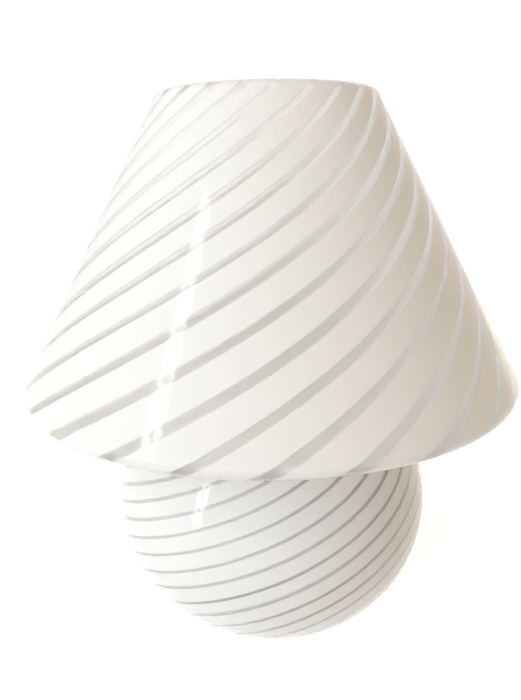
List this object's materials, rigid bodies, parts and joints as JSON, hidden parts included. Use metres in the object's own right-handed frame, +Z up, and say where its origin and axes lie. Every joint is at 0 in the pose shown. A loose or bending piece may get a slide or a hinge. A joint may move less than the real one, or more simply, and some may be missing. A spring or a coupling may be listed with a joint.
{
  "type": "glass table lamp",
  "caption": "One-piece blown glass table lamp with a globe foot and a cone shade in white and clear stripes, with a sprung lampholder and a screw-in bulb inside.",
  "frame": {"origin": "the middle of the foot, on the surface that the lamp stands on", "axes": "+Z up along the lamp's axis, front is -Y, the cord bush is at the back, +Y"},
  "size_m": [0.26, 0.26, 0.287],
  "materials": {
    "striped_glass": "opal white glass with clear stripes, fire polished",
    "bush_plastic": "smooth moulded",
    "soft_seal": "soft translucent",
    "white_steel": "white powder coat",
    "spring_steel": "bare spring steel",
    "zinc_steel": "bright zinc",
    "holder_plastic": "smooth moulded",
    "porcelain": "satin glaze",
    "contact_brass": "bare",
    "shell_metal": "nickel plated",
    "bulb_glass": "clear",
    "black_glass": "glossy",
    "filament_coat": "soft phosphor coat"
  },
  "bodies": {
    "root": {"glass_body": "striped_glass", "cord_bush": "bush_plastic", "bush_nut": "bush_plastic", "bush_seals": "soft_seal", "support_arms": "white_steel", "arm_pads": "soft_seal", "grip_spring": "spring_steel", "threaded_nipple": "zinc_steel", "nipple_nuts": "zinc_steel", "lock_washer": "spring_steel", "holder_cap": "holder_plastic", "cap_screw": "zinc_steel", "holder_sleeve": "holder_plastic", "holder_insert": "porcelain", "terminals": "contact_brass", "terminal_screws": "zinc_steel", "thread_shell": "shell_metal", "contact_tongue": "contact_brass", "contact_rivets": "contact_brass"},
    "bulb_tip": {"cap_insulator": "black_glass", "tip_contact": "contact_brass"},
    "bulb": {"bulb_envelope": "bulb_glass", "bulb_cap": "shell_metal", "bulb_stem": "bulb_glass", "filament_frame": "zinc_steel", "filaments": "filament_coat"}
  },
  "joints": [
    {"name": "bulb_rise", "type": "slide", "parent": "root", "child": "bulb_tip", "axis": [0, 0, 1], "range_m": [0, 0.0113]},
    {"name": "bulb_turn", "type": "hinge", "parent": "bulb_tip", "child": "bulb", "pos_m": [0, 0, 0.2], "axis": [0, 0, 1], "range_deg": [0, 1440]}
  ],
  "couplings": [
    {"joint": "bulb_rise", "follows": "bulb_turn", "m_per_rad": 0.00044914}
  ]
}
